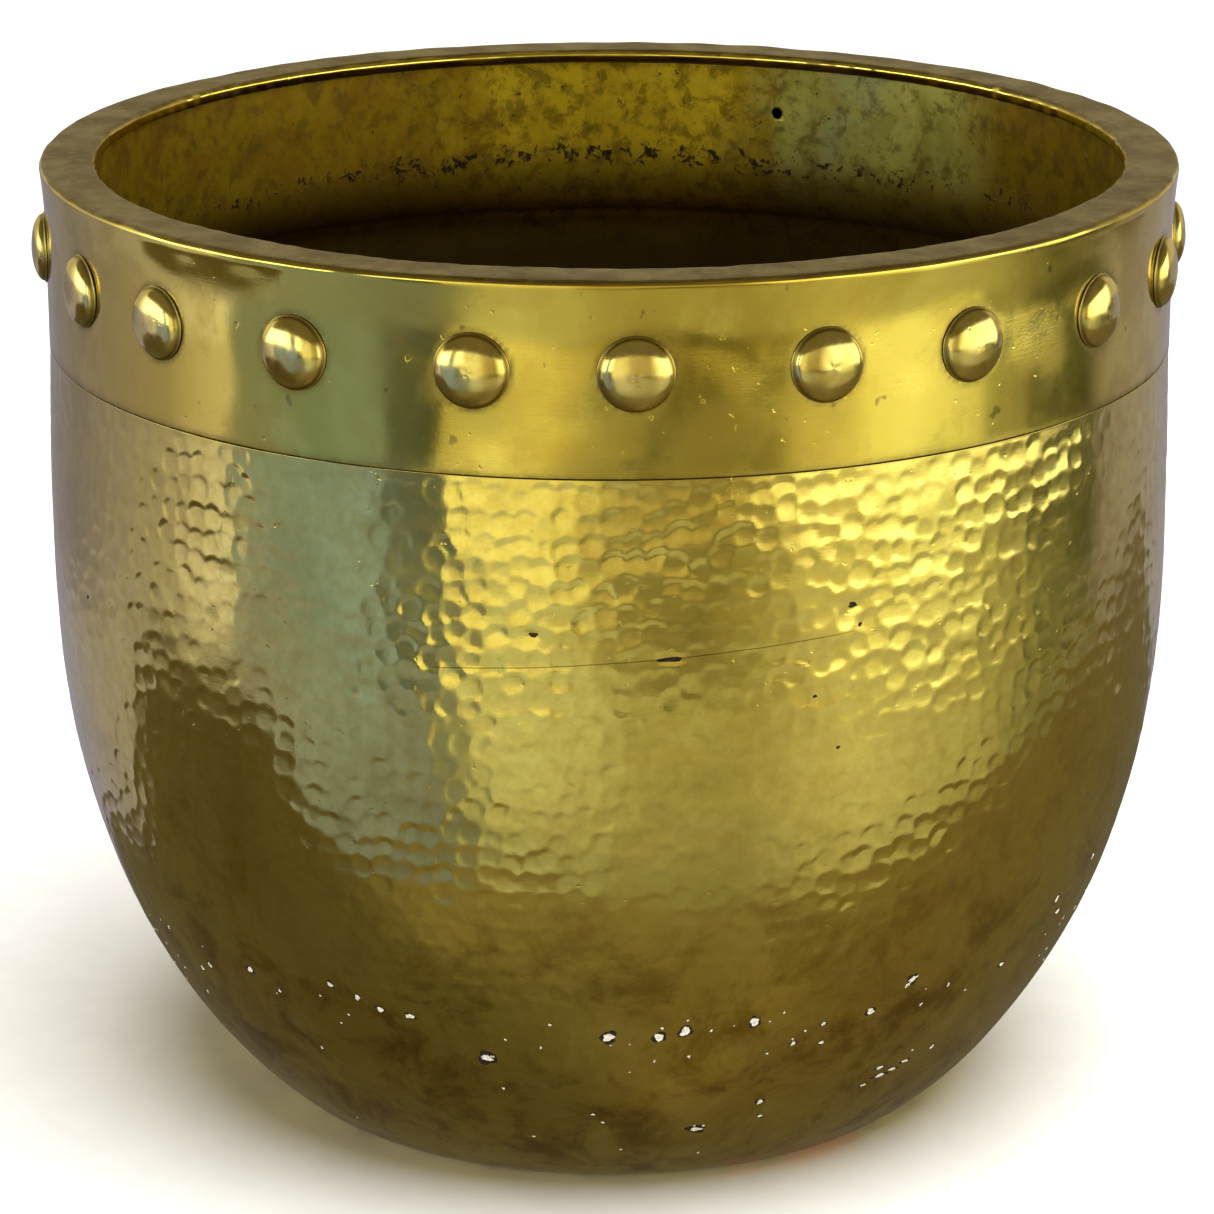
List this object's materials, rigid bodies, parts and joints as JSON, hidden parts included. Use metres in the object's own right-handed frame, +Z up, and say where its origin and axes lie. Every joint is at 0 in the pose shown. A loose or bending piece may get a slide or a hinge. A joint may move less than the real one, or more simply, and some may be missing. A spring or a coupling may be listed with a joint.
{
  "type": "planter pot",
  "caption": "Round open brass planter pot with a hammered bowl, a smooth folded rim collar and a row of domed studs, for holding a potted plant.",
  "frame": {"origin": "centre of the flat underside that the pot stands on", "axes": "+Z up along the pot's axis, -Y towards the front of the pot, +X to the right as seen from the front"},
  "size_m": [0.413, 0.4136, 0.346],
  "materials": {
    "bowl_brass": "hammered, lightly polished and tarnished to olive brown near the foot",
    "collar_brass": "smooth, polished, with a rubbed dull flat on the rim",
    "stud_brass": "polished"
  },
  "bodies": {
    "root": {"bowl": "bowl_brass", "rim_collar": "collar_brass", "stud_01": "stud_brass", "stud_02": "stud_brass", "stud_03": "stud_brass", "stud_04": "stud_brass", "stud_05": "stud_brass", "stud_06": "stud_brass", "stud_07": "stud_brass", "stud_08": "stud_brass", "stud_09": "stud_brass", "stud_10": "stud_brass", "stud_11": "stud_brass", "stud_12": "stud_brass", "stud_13": "stud_brass", "stud_14": "stud_brass", "stud_15": "stud_brass", "stud_16": "stud_brass", "stud_17": "stud_brass", "stud_18": "stud_brass", "stud_19": "stud_brass", "stud_20": "stud_brass", "stud_21": "stud_brass"}
  },
  "joints": []
}
